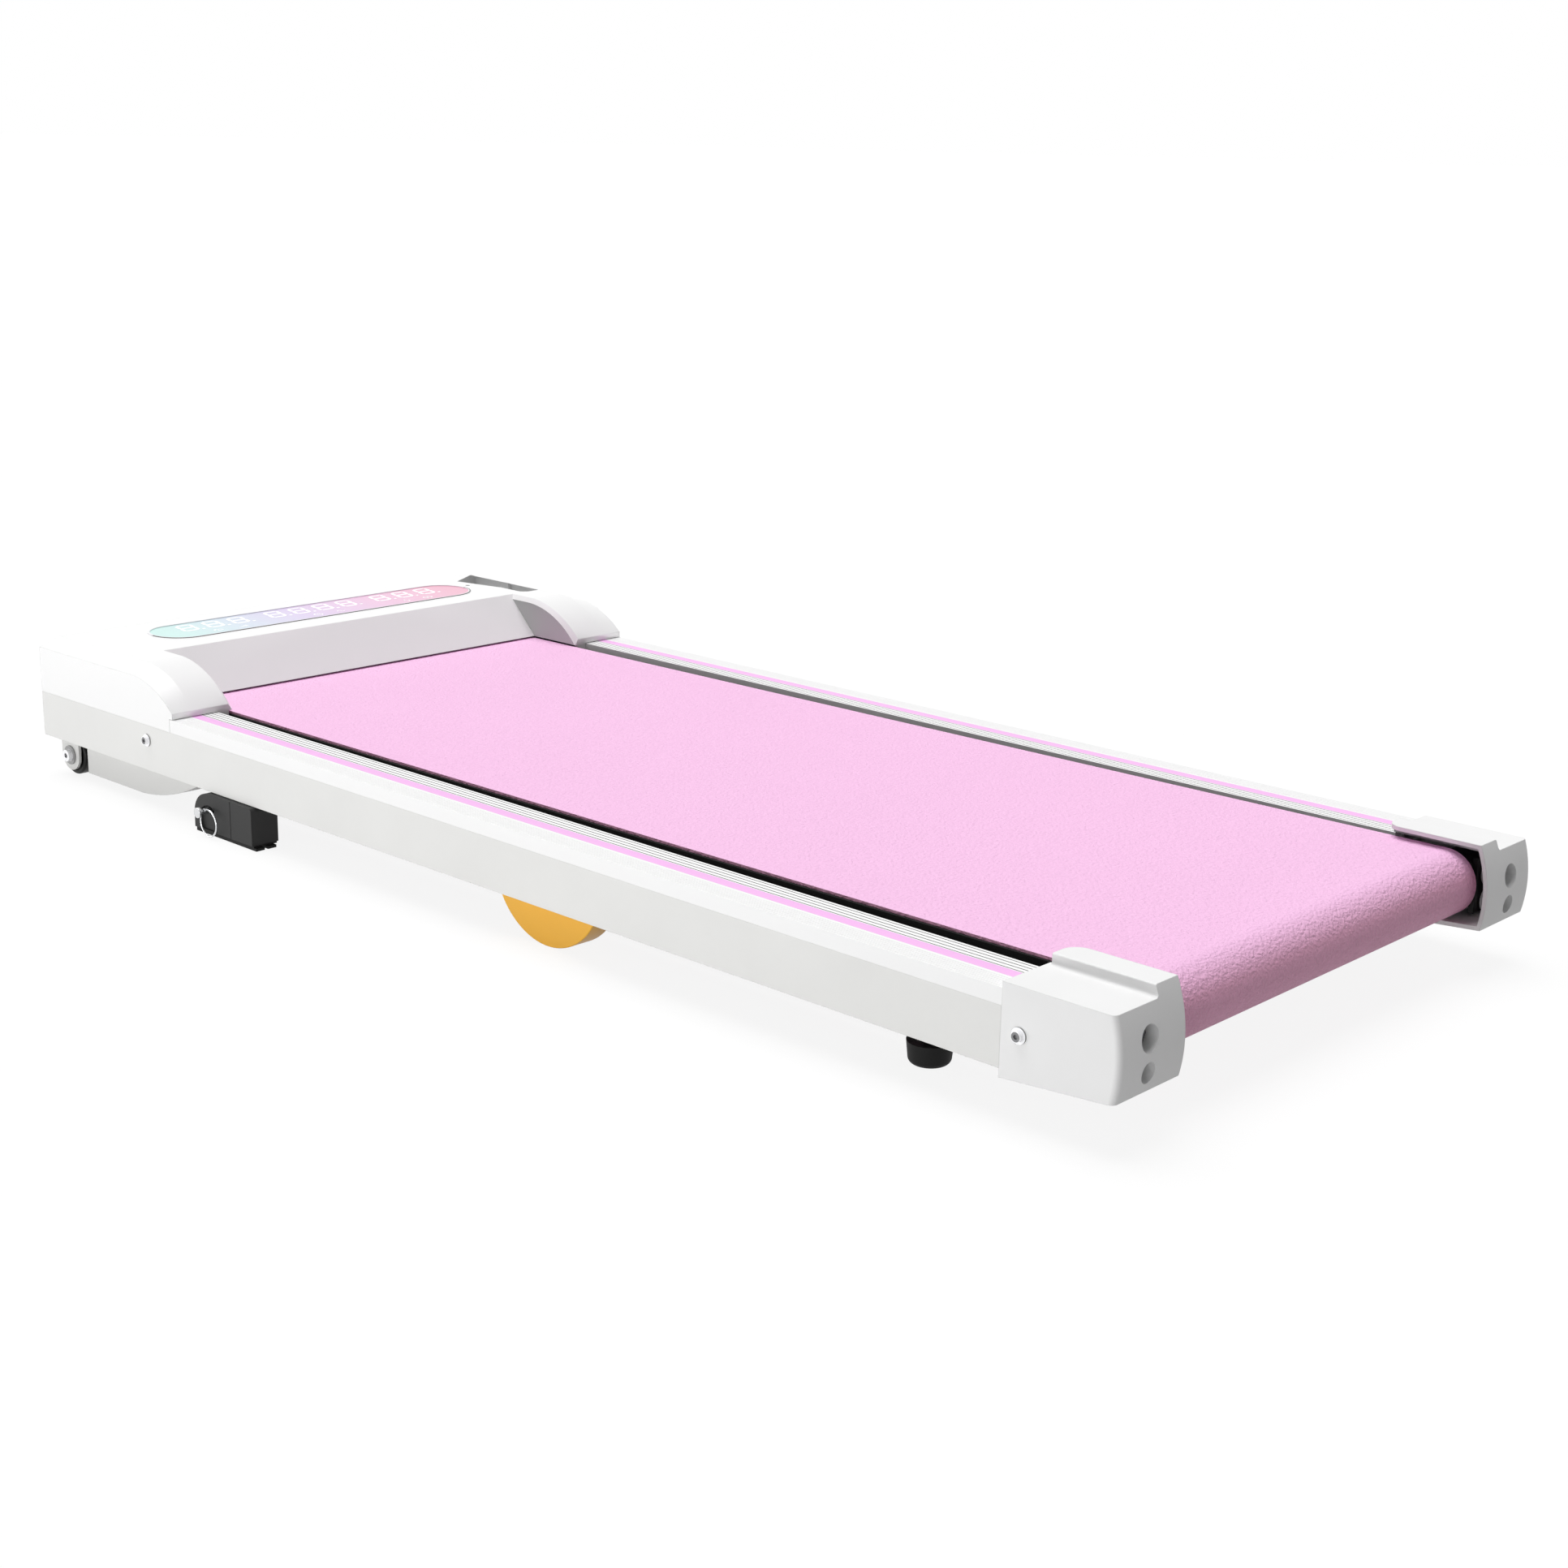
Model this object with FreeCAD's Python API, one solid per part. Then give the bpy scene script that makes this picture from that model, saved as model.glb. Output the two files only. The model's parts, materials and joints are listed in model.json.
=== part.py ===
import FreeCAD, Part
import math
import os

os.makedirs("parts", exist_ok=True)

# A walking pad that lies flat on the floor. X points to the walker's right, Y towards the
# motor hood and Z up. The origin is on the floor, under the middle of the machine.

# Whole machine
overall_length = 1149.0
beam_bottom = 35.0
overrun = 5.0
face_gap = 0.3
running_gap = 0.06
seat_gap = 0.4
same_place = 0.01

# Side beams: steel channels that open towards the belt
beam_height = 39.0
beam_wall = 3.0
beam_top_flange = 34.0
beam_bottom_flange = 55.0

# Front panel between the beams
panel_setback = 3.0
panel_wall = 2.0

# Foot rails on top of the beams
rail_lap = 4.0
rail_width = 44.0
rail_height = 11.0
rail_wall = 2.0
rail_lip_drop = 8.0
rail_leg_inset = 30.0
stripe_inset = 18.5
stripe_width = 9.3
stripe_depth = 1.0
tread_groove_first = 29.2
tread_groove_pitch = 4.05
tread_groove_count = 4
tread_groove_width = 0.8
tread_groove_depth = 0.6
edge_groove_first = 2.0
edge_groove_pitch = 2.6
edge_groove_count = 6
edge_groove_width = 0.5
edge_groove_depth = 0.25

# Running belt, deck and rollers: the belt climbs a little towards the rear
belt_width = 385.0
belt_side_gap = 13.5
belt_rear_rise = 2.2
belt_front_drop = 2.0
belt_thickness = 2.0
roller_radius = 21.7
roller_wall = 2.0
roller_overhang = 2.0
rear_roller_setback = 36.0
front_roller_setback = 105.0
axle_radius = 6.0
bearing_width = 12.0
deck_overhang = 2.0
deck_thickness = 14.0
deck_end_gap = 6.0

# Cross beams and the rubber cushions on them
cross_beam_depth = 25.0
cross_beam_height = 20.0
cross_beam_wall = 2.0
rear_beam_inset = 66.4
middle_beam_share = 0.54
front_beam_inset = 47.4
cushion_thickness = 4.0
cushion_width = 40.0
cushion_depth = 20.0
cushion_inset = 44.5

# Rear end caps
cap_length = 84.0
cap_width = 65.0
cap_wall = 3.0
cap_rise = 15.0
cap_lip_rise = 22.4
cap_lip_offset = 43.0
cap_lip_setback = 3.0
cap_lip_corner = 12.0
cap_lip_root = 2.5
cap_front_drop = 44.8
cap_rear_drop = 38.0
cap_bulge_drop = 15.6
cap_curve_radius = 95.0
cap_corner_radius = 4.0
cap_edge_radius = 1.2
cap_sleeve_wall = 2.0
cap_sleeve_gap = 1.0
tension_hole_radius = 8.5
tension_inset = 30.0
tension_drop = 5.1
fixing_hole_radius = 6.6
fixing_drop = 25.9

# Roller brackets and axle blocks inside the caps
bracket_wall = 4.0
bracket_lap = 32.0
bracket_height = 30.0
bracket_floor_gap = 2.0
tab_setback = 18.5
tab_reach = 38.0
tab_height = 40.0
axle_block_width = 38.0
axle_block_depth = 26.0
axle_block_height = 28.0
axle_block_drop = 14.0

# Belt-tension bolts and cap fixing screws
tension_bolt_radius = 4.0
tension_head_radius = 6.5
tension_head_height = 10.0
tension_key_radius = 3.2
tension_key_depth = 3.0
tension_bite = 7.0
fixing_screw_radius = 2.5
fixing_head_radius = 4.6
fixing_head_height = 3.2

# Screws with washers on the sides
side_screw_radius = 2.5
side_screw_bite = 9.0
side_head_radius = 3.6
side_head_height = 2.4
side_washer_radius = 5.4
side_washer_height = 1.0
side_key_radius = 1.6
front_screw_setback = 166.0
front_screw_drop = 13.0
cap_screw_setback = 13.5
cap_screw_drop = 15.0

# Motor hood
hood_height = 46.5
hood_side_height = 39.5
hood_bevel = 20.0
hood_wall = 3.0
hood_top_depth = 111.0
hood_base_depth = 147.0
hood_side_length = 205.5
lobe_width = 58.0
lobe_arc_run = 65.0
lobe_mid_run = 29.5
lobe_mid_drop = 8.7
lobe_side_mid_drop = 5.2
lobe_lip_rise = 16.3
lobe_chamfer = 4.0
belt_passage_gap = 1.6
belt_passage_side = 3.0

# Display on the hood
display_end_inset = 74.0
display_offset = 6.0
display_width = 60.0
display_setback = 53.0
display_rim = 2.2
display_rim_proud = 0.5
display_pocket = 1.6
lens_thickness = 1.4
display_board_end_inset = 28.5
display_board_side_inset = 8.0
display_board_thickness = 1.6
sensor_radius = 2.2
sensor_gap = 9.0
sensor_setback = 48.0
sensor_thickness = 2.4

# Remote tray and finger scoop at the right end of the hood
tray_outer_inset = 15.0
tray_front_width = 6.0
tray_front_setback = 6.0
tray_left_setback = 24.5
tray_left_width = 38.0
tray_waist_setback = 76.0
tray_waist_width = 26.5
tray_bend_setback = 45.5
tray_bend_width = 5.0
tray_depth = 11.0
tray_wall = 2.5
scoop_outer_inset = 14.3
scoop_width = 26.5
scoop_setback = 61.5
scoop_length = 49.5
scoop_depth = 15.0
scoop_corner = 9.0

# Belly pan under the motor
pan_wall = 2.0
pan_side_inset = 12.0
pan_front_setback = 49.0
pan_length = 181.0
pan_depth = 28.0
pan_flat_length = 87.0
pan_curve_run = 48.0
pan_curve_drop = 19.5
pan_nose_inset = 42.0
pan_nose_setback = 7.0
pan_nose_lap = 4.0

# Motor, pulleys and drive belt
motor_radius = 30.0
motor_length = 130.0
motor_wall = 3.0
motor_end_wall = 4.0
motor_gap = 18.5
motor_setback = 43.0
motor_rise = 13.5
motor_core_radius = 18.0
motor_core_gap = 12.0
motor_shaft_radius = 5.0
motor_pulley_radius = 9.0
pulley_radius = 18.0
pulley_width = 12.0
pulley_gap = 4.0
pulley_bore_gap = 0.5
drive_belt_width = 9.0
drive_belt_thickness = 2.0
mount_wall = 3.0
mount_clearance = 2.0
saddle_width = 16.0
saddle_inset = 20.0
mount_depth = 70.0

# Controller board on its heat sink
controller_motor_gap = 30.0
controller_switch_gap = 5.0
controller_depth = 55.0
heat_sink_base = 4.0
heat_sink_fin_height = 8.0
heat_sink_fin_wall = 2.0
heat_sink_fin_count = 8
controller_board_thickness = 1.6
capacitor_radius = 9.0
capacitor_height = 24.0
capacitor_offset = 25.0
capacitor_pitch = 26.0
capacitor_count = 2

# Power inlet and rocker switch in the front panel
inlet_inset = 45.0
inlet_flange_width = 34.0
inlet_flange_height = 27.0
inlet_flange_wall = 2.0
inlet_body_width = 28.0
inlet_body_height = 21.0
inlet_body_depth = 20.0
inlet_socket_width = 24.0
inlet_socket_height = 16.5
inlet_socket_depth = 16.0
inlet_pin_width = 2.0
inlet_pin_height = 4.0
inlet_pin_pitch = 7.0
inlet_pin_set_back = 6.0
inlet_pin_rise = 2.0
switch_inset = 85.0
switch_frame_width = 24.0
switch_frame_height = 19.0
switch_body_width = 20.0
switch_body_height = 16.0
switch_body_depth = 14.0
switch_well_width = 16.0
switch_well_height = 13.0
switch_well_depth = 8.5
rocker_width = 15.2
rocker_height = 11.0
rocker_front = 2.4
rocker_back = 2.6
rocker_crown = 1.0
rocker_pin_radius = 1.2
rocker_pin_reach = 1.2
panel_part_drop = 19.0

# Transport wheels in forked brackets
wheel_setback = 26.0
wheel_height = 19.5
wheel_radius = 18.0
wheel_width = 18.5
wheel_inset = 12.5
wheel_side_gap = 1.0
wheel_edge = 2.0
wheel_hub_radius = 8.0
wheel_dish = 2.0
wheel_dish_radius = 14.5
fork_wall = 2.5
fork_width = 27.0
wheel_bolt_radius = 4.0
wheel_bolt_head_radius = 5.2
wheel_bolt_head_height = 3.6
wheel_washer_radius = 8.4
wheel_washer_height = 1.4
wheel_key_radius = 2.4
wheel_key_depth = 2.0

# Incline feet: blocks that turn on a pivot, held by a pull pin with a wire ring
foot_front_setback = 240.0
foot_length = 80.0
foot_width = 25.0
foot_proud = 5.0
foot_top_gap = 0.6
foot_pivot_setback = 20.0
foot_pivot_height = 11.5
foot_nose_radius = 19.0
foot_edge_radius = 3.0
foot_tread_thickness = 3.6
foot_tread_base = 1.4
foot_tread_rib = 8.0
foot_tread_gap = 3.0
foot_tread_inset = 1.5
foot_tread_tail = 3.5
foot_dish_radius = 13.4
foot_dish_depth = 3.0
foot_seam_setback = 51.0
foot_seam_width = 0.7
foot_seam_depth = 0.6
foot_pivot_radius = 6.0
foot_pivot_reach = 15.0
lock_offset = 9.5
lock_pin_radius = 2.5
lock_recess_radius = 4.2
lock_recess_depth = 5.0
lock_travel = 4.0
lock_tip_gap = 0.5
lock_neck_length = 8.4
lock_head_radius = 4.3
lock_head_height = 2.4
foot_plate_wall = 3.0
foot_plate_gap = 0.5
foot_plate_width = 36.0
foot_plate_floor_gap = 1.5
ring_radius = 11.0
ring_wire_radius = 0.7
ring_eye_radius = 1.35
ring_stand_off = 0.5
ring_lean_deg = 43.0

# Half-moon mid supports
moon_radius = 57.0
moon_thickness = 20.0
moon_inset = 15.0
moon_offset = 75.5
moon_edge_radius = 0.8

# Round rear feet on threaded studs
rear_foot_inset = 44.5
rear_foot_setback = 87.5
rear_foot_radius = 13.6
rear_foot_top_radius = 15.2
rear_foot_height = 15.5
rear_foot_edge = 4.5
rear_foot_dish_radius = 8.5
rear_foot_dish_depth = 3.0
rear_stud_radius = 4.0
rear_stud_proud = 0.6
rear_nut_radius = 7.0
rear_nut_height = 5.0

# Places worked out from the sizes above
half_width = belt_width / 2 + belt_side_gap + rail_width
front_y = overall_length / 2
rear_y = -overall_length / 2
seam_height = beam_bottom + beam_height
beam_inner_x = -half_width + beam_wall
cap_front_y = rear_y + cap_length
hood_top = seam_height + hood_height
hood_tip_y = front_y - hood_side_length
rail_front_y = hood_tip_y + rail_lap
rail_top = seam_height + rail_height
belt_inner_radius = roller_radius + face_gap
belt_outer_radius = belt_inner_radius + belt_thickness
rear_roller_y = rear_y + rear_roller_setback
rear_roller_z = rail_top + belt_rear_rise - belt_outer_radius
front_roller_y = front_y - front_roller_setback
front_roller_z = rail_top - belt_front_drop - belt_outer_radius
roller_end_x = -belt_width / 2 - roller_overhang
deck_width = belt_width + deck_overhang + deck_overhang
deck_rear_y = rear_roller_y + belt_outer_radius + deck_end_gap
deck_front_y = front_roller_y - belt_outer_radius - deck_end_gap
rear_beam_y = deck_rear_y + rear_beam_inset
middle_beam_y = deck_rear_y + middle_beam_share * (deck_front_y - deck_rear_y)
front_beam_y = deck_front_y - front_beam_inset
tension_x = -half_width + tension_inset
tension_z = seam_height - tension_drop
fixing_z = seam_height - fixing_drop
tab_rear_y = rear_y + tab_setback
display_length = half_width + half_width - display_end_inset - display_end_inset
display_y = front_y - display_setback
sensor_x = display_offset + display_length / 2 + sensor_gap
sensor_y = front_y - sensor_setback
panel_y = front_y - panel_setback
panel_back_y = panel_y - panel_wall
panel_part_z = seam_height - panel_part_drop
inlet_x = half_width - inlet_inset
switch_x = half_width - switch_inset
pulley_x = roller_end_x - pulley_gap
motor_x = pulley_x + motor_gap
motor_end_x = motor_x + motor_length
motor_y = front_y - motor_setback
motor_z = front_roller_z + motor_rise
mount_z = beam_bottom + mount_clearance
controller_x = motor_end_x + controller_motor_gap
controller_end_x = switch_x - switch_body_width / 2 - controller_switch_gap
wheel_y = front_y - wheel_setback
wheel_x = -half_width + wheel_inset
foot_front_y = front_y - foot_front_setback
foot_outer_x = -half_width - foot_proud
foot_inner_x = foot_outer_x + foot_width
foot_top = beam_bottom - foot_top_gap
pivot_y = foot_front_y - foot_pivot_setback
pivot_z = foot_pivot_height
lock_z = pivot_z + lock_offset
ring_x = foot_outer_x - ring_stand_off - ring_wire_radius - lock_travel
rear_foot_x = -half_width + rear_foot_inset
rear_foot_y = cap_front_y + rear_foot_setback


def point(x, y, z):
    return FreeCAD.Vector(x, y, z)


def around(middle, size):
    return middle - size / 2, middle + size / 2


def past(low, high):
    return low - overrun, high + overrun


def box(x, y, z):
    """A block between two places along each axis."""
    return Part.makeBox(x[1] - x[0], y[1] - y[0], z[1] - z[0], point(x[0], y[0], z[0]))


def rod_x(radius, x, y, z):
    return Part.makeCylinder(radius, x[1] - x[0], point(x[0], y, z), point(1, 0, 0))


def rod_y(radius, x, y, z):
    return Part.makeCylinder(radius, y[1] - y[0], point(x, y[0], z), point(0, 1, 0))


def rod_z(radius, x, y, z):
    return Part.makeCylinder(radius, z[1] - z[0], point(x, y, z[0]), point(0, 0, 1))


def prism_x(yz, x):
    corners = [point(x[0], y, z) for y, z in yz]
    return Part.Face(Part.makePolygon(corners + corners[:1])).extrude(point(x[1] - x[0], 0, 0))


def prism_y(xz, y):
    corners = [point(x, y[0], z) for x, z in xz]
    return Part.Face(Part.makePolygon(corners + corners[:1])).extrude(point(0, y[1] - y[0], 0))


def prism_z(xy, z):
    corners = [point(x, y, z[0]) for x, y in xy]
    return Part.Face(Part.makePolygon(corners + corners[:1])).extrude(point(0, 0, z[1] - z[0]))


def hexagon(radius, u, v):
    turns = [k * math.pi / 3 for k in range(6)]
    return [(u + radius * math.cos(turn), v + radius * math.sin(turn)) for turn in turns]


def line(a, b):
    return Part.LineSegment(a, b).toShape()


def arc(a, b, c):
    return Part.Arc(a, b, c).toShape()


def mirrored(shape):
    return shape.mirror(point(0, 0, 0), point(1, 0, 0))


def edges_at(shape, test):
    return [e for e in shape.Edges if all(test(v.Point) for v in e.Vertexes) and len(e.Vertexes) == 2]


def ring_edges(shape):
    return [e for e in shape.Edges if len(e.Vertexes) == 1]


def close_to(a, b):
    return abs(a - b) < same_place


def loop_solid(a, b, x):
    """Everything inside a taut loop round circle a and circle b ahead of it, each (y, z, radius)."""
    a_y, a_z, a_radius = a
    b_y, b_z, b_radius = b
    lean = math.atan2(b_z - a_z, b_y - a_y)
    turn = math.acos((a_radius - b_radius) / math.hypot(b_y - a_y, b_z - a_z))

    def on_a(angle):
        return point(x[0], a_y + a_radius * math.cos(angle), a_z + a_radius * math.sin(angle))

    def on_b(angle):
        return point(x[0], b_y + b_radius * math.cos(angle), b_z + b_radius * math.sin(angle))

    up = lean + turn
    down = lean - turn
    wire = Part.Wire([
        line(on_a(up), on_b(up)),
        arc(on_b(up), on_b(lean), on_b(down)),
        line(on_b(down), on_a(down)),
        arc(on_a(down), on_a(lean + math.pi), on_a(up)),
    ])
    return Part.Face(wire).extrude(point(x[1] - x[0], 0, 0))


def belt_loop(radius, x):
    """Everything inside a loop that keeps one radius round both rollers."""
    return loop_solid((rear_roller_y, rear_roller_z, radius), (front_roller_y, front_roller_z, radius), x)


def run_height(y, radius):
    """Height at y of the upper run of such a loop."""
    span = front_roller_y - rear_roller_y
    climb = front_roller_z - rear_roller_z
    middle = rear_roller_z + climb * (y - rear_roller_y) / span
    return middle + radius * math.hypot(span, climb) / span


def pill(length, width, x, y, z):
    """A flat plate with round ends, about the middle x and y."""
    radius = width / 2
    left, right = around(x, length - width)
    right_rear = point(right, y - radius, z[0])
    right_front = point(right, y + radius, z[0])
    left_front = point(left, y + radius, z[0])
    left_rear = point(left, y - radius, z[0])
    wire = Part.Wire([
        line(left_rear, right_rear),
        arc(right_rear, point(right + radius, y, z[0]), right_front),
        line(right_front, left_front),
        arc(left_front, point(left - radius, y, z[0]), left_rear),
    ])
    return Part.Face(wire).extrude(point(0, 0, z[1] - z[0]))


def save(name, shape):
    shape.exportStep(f"parts/{name}.step")


def save_pair(name, shape):
    save(f"left_{name}", shape)
    save(f"right_{name}", mirrored(shape))


def save_both(name, shapes):
    save(name, Part.makeCompound(shapes + [mirrored(shape) for shape in shapes]))


# Frame

def side_beam():
    flange_x = -half_width + beam_bottom_flange
    y = past(cap_front_y, front_y)
    outer = box((-half_width, flange_x), (cap_front_y, front_y), (beam_bottom, seam_height))
    hollow = box((beam_inner_x, flange_x + overrun), y, (beam_bottom + beam_wall, seam_height - beam_wall))
    trim_z = past(seam_height - beam_wall, seam_height)
    trim = box((-half_width + beam_top_flange, flange_x + overrun), y, trim_z)
    stud_hole = rod_z(rear_stud_radius + running_gap, rear_foot_x, rear_foot_y,
                      past(beam_bottom, beam_bottom + beam_wall))
    screw_hole = rod_x(side_screw_radius, past(-half_width, beam_inner_x), front_y - front_screw_setback,
                       seam_height - front_screw_drop)
    return outer.cut(hollow).cut(trim).cut(stud_hole).cut(screw_hole).cut(wheel_room())


def cross_beam_top(y):
    return run_height(y, belt_inner_radius - deck_thickness) - cushion_thickness


def cross_beam(y):
    y0, y1 = around(y, cross_beam_depth)
    z1 = cross_beam_top(y)
    z0 = z1 - cross_beam_height
    tube = box((beam_inner_x, -beam_inner_x), (y0, y1), (z0, z1))
    bore = box(past(beam_inner_x, -beam_inner_x), (y0 + cross_beam_wall, y1 - cross_beam_wall),
               (z0 + cross_beam_wall, z1 - cross_beam_wall))
    return tube.cut(bore)


def deck_cushions():
    pads = []
    x = around(-deck_width / 2 + cushion_inset, cushion_width)
    for y in (rear_beam_y, middle_beam_y, front_beam_y):
        z0 = cross_beam_top(y)
        pad = box(x, around(y, cushion_depth), (z0, z0 + cushion_thickness + overrun))
        pads.append(pad.cut(running_deck()))
    return pads


def running_deck():
    low = belt_inner_radius - deck_thickness
    outline = [
        (deck_rear_y, run_height(deck_rear_y, low)),
        (deck_front_y, run_height(deck_front_y, low)),
        (deck_front_y, run_height(deck_front_y, belt_inner_radius)),
        (deck_rear_y, run_height(deck_rear_y, belt_inner_radius)),
    ]
    return prism_x(outline, around(0, deck_width))


def front_panel():
    y = past(panel_back_y, panel_y)
    panel = box((beam_inner_x, -beam_inner_x), (panel_back_y, panel_y), (beam_bottom, seam_height))
    inlet = box(around(inlet_x, inlet_body_width), y, around(panel_part_z, inlet_body_height))
    switch = box(around(switch_x, switch_body_width), y, around(panel_part_z, switch_body_height))
    beam = side_beam()
    return panel.cut(inlet).cut(switch).cut(beam).cut(mirrored(beam))


# Foot rails

def rail_block(clearance):
    return box((-half_width - clearance, -half_width + rail_width + clearance),
               (cap_front_y, rail_front_y + clearance), (seam_height, rail_top + clearance))


def rail_grooves(first, pitch, count, width, depth):
    """Grooves along the top of the left rail, counted from its outer side."""
    y = past(cap_front_y, rail_front_y)
    z = (rail_top - depth, rail_top + overrun)
    return [box(around(-half_width + first + k * pitch, width), y, z) for k in range(count)]


def foot_rail():
    roof = rail_top - rail_wall - stripe_depth
    inner_x = -half_width + rail_width
    leg_x = -half_width + rail_leg_inset
    y = past(cap_front_y, rail_front_y)
    hollow = box((-half_width + rail_wall, inner_x - rail_wall), y, (seam_height - overrun, roof))
    under_lip = box(past(inner_x - rail_wall, inner_x), y, (seam_height - overrun, rail_top - rail_lip_drop))
    leg = box((leg_x, leg_x + rail_wall), (cap_front_y, rail_front_y), (seam_height, roof))
    rail = rail_block(0).cut(hollow).cut(under_lip).fuse(leg)
    grooves = rail_grooves(tread_groove_first, tread_groove_pitch, tread_groove_count, tread_groove_width,
                           tread_groove_depth)
    grooves += rail_grooves(edge_groove_first, edge_groove_pitch, edge_groove_count, edge_groove_width,
                            edge_groove_depth)
    for groove in grooves:
        rail = rail.cut(groove)
    return rail.cut(rail_stripe()).removeSplitter()


def rail_stripe():
    x0 = -half_width + stripe_inset
    return box((x0, x0 + stripe_width), (cap_front_y, rail_front_y), (rail_top - stripe_depth, rail_top))


# Running belt and rollers

def running_belt():
    outside = belt_loop(belt_outer_radius, around(0, belt_width))
    return outside.cut(belt_loop(belt_inner_radius, past(-belt_width / 2, belt_width / 2)))


def roller_tube(y, z):
    outside = rod_x(roller_radius, (roller_end_x, -roller_end_x), y, z)
    return outside.cut(rod_x(roller_radius - roller_wall, past(roller_end_x, -roller_end_x), y, z))


def roller_bearing(y, z):
    x = (roller_end_x, roller_end_x + bearing_width)
    ring = rod_x(roller_radius - roller_wall, x, y, z)
    return ring.cut(rod_x(axle_radius + running_gap, past(*x), y, z))


def rear_axle():
    reach = half_width - cap_wall - bracket_wall
    return rod_x(axle_radius, (-reach, reach), rear_roller_y, rear_roller_z)


def front_axle():
    return rod_x(axle_radius, (beam_inner_x, -beam_inner_x), front_roller_y, front_roller_z)


def front_pulley():
    wheel = rod_x(pulley_radius, (pulley_x - pulley_width, pulley_x), front_roller_y, front_roller_z)
    hub = rod_x(roller_radius - roller_wall, (pulley_x, roller_end_x), front_roller_y, front_roller_z)
    bore = rod_x(axle_radius + pulley_bore_gap, past(pulley_x - pulley_width, roller_end_x), front_roller_y,
                 front_roller_z)
    return wheel.fuse(hub).cut(bore).removeSplitter()


# Rear end caps

def cap_block(rise, inset, front, x):
    """The cap's side view, drawn in by a wall and carried across x. Its rear is part of a drum."""
    top = seam_height + rise - inset
    outline = prism_x([(front, top), (rear_y, top), (rear_y, seam_height - cap_rear_drop + inset),
                       (front, seam_height - cap_front_drop + inset)], x)
    drum = rod_x(cap_curve_radius - inset, x, rear_y + cap_curve_radius, seam_height - cap_bulge_drop)
    return outline.common(drum)


def cap_body(x):
    body = cap_block(cap_rise, 0, cap_front_y, x)
    corner = edges_at(body, lambda p: close_to(p.x, x[0]) and p.y < tab_rear_y)
    return body.makeFillet(cap_corner_radius, corner)


def cap_lip(x):
    front = cap_front_y - cap_lip_setback
    lip = cap_block(cap_lip_rise, 0, front, x)
    corner = edges_at(lip, lambda p: close_to(p.x, x[1]) and close_to(p.y, front))
    lip = lip.makeFillet(cap_lip_corner, corner)
    rim = edges_at(lip, lambda p: close_to(p.x, x[0]) and close_to(p.z, seam_height + cap_lip_rise))
    return lip.makeFillet(cap_edge_radius, rim)


def cap_cove(x):
    """The hollow round at the foot of the lip."""
    block = cap_block(cap_rise + cap_lip_root, 0, cap_front_y - cap_lip_setback, (x - cap_lip_root, x))
    return block.cut(rod_y(cap_lip_root, x - cap_lip_root, past(rear_y, cap_front_y),
                           seam_height + cap_rise + cap_lip_root))


def end_cap():
    outer_x = -half_width
    inner_x = -half_width + cap_width
    lip_x = -half_width + cap_lip_offset
    hollow = cap_block(cap_rise, cap_wall, cap_front_y + overrun, (outer_x + cap_wall, inner_x + overrun))
    lip_hollow_x = (lip_x + cap_wall, inner_x + overrun)
    lip_hollow = cap_block(cap_lip_rise, cap_wall, cap_front_y + overrun, lip_hollow_x)
    cap = cap_body((outer_x, inner_x)).fuse(cap_lip((lip_x, inner_x))).fuse(cap_cove(lip_x))
    cap = cap.cut(hollow).cut(lip_hollow)
    for radius, z in ((tension_hole_radius, tension_z), (fixing_hole_radius, fixing_z)):
        sleeve = rod_y(radius + cap_sleeve_wall, tension_x, (rear_y, tab_rear_y - cap_sleeve_gap), z)
        cap = cap.fuse(sleeve.common(cap_block(cap_rise, 0, cap_front_y, (outer_x, inner_x))))
        cap = cap.cut(rod_y(radius, tension_x, past(rear_y, tab_rear_y), z))
    screw_hole = rod_x(side_screw_radius, past(outer_x, outer_x + cap_wall), cap_front_y - cap_screw_setback,
                       seam_height - cap_screw_drop)
    return cap.cut(screw_hole).removeSplitter()


def roller_bracket():
    x0 = -half_width + cap_wall
    z0 = beam_bottom + beam_wall + bracket_floor_gap
    tab_y = (tab_rear_y, tab_rear_y + bracket_wall)
    plate = box((x0, x0 + bracket_wall), (tab_rear_y, cap_front_y + bracket_lap), (z0, z0 + bracket_height))
    tab = box((x0, x0 + bracket_wall + tab_reach), tab_y, (z0, z0 + tab_height))
    bolt_hole = rod_y(tension_bolt_radius + running_gap, tension_x, past(*tab_y), tension_z)
    screw_hole = rod_y(fixing_screw_radius, tension_x, past(*tab_y), fixing_z)
    side_hole = rod_x(side_screw_radius, past(x0, x0 + bracket_wall), cap_front_y - cap_screw_setback,
                      seam_height - cap_screw_drop)
    return plate.fuse(tab).cut(bolt_hole).cut(screw_hole).cut(side_hole).removeSplitter()


def axle_block():
    x0 = -half_width + cap_wall + bracket_wall
    z0 = rear_roller_z - axle_block_drop
    y = around(rear_roller_y, axle_block_depth)
    bite = (y[0] - overrun, y[0] + tension_bite)
    block = box((x0, x0 + axle_block_width), y, (z0, z0 + axle_block_height))
    axle_hole = rod_x(axle_radius, past(x0, x0 + axle_block_width), rear_roller_y, rear_roller_z)
    bolt_hole = rod_y(tension_bolt_radius + running_gap, tension_x, bite, tension_z)
    return block.cut(axle_hole).cut(bolt_hole)


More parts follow.
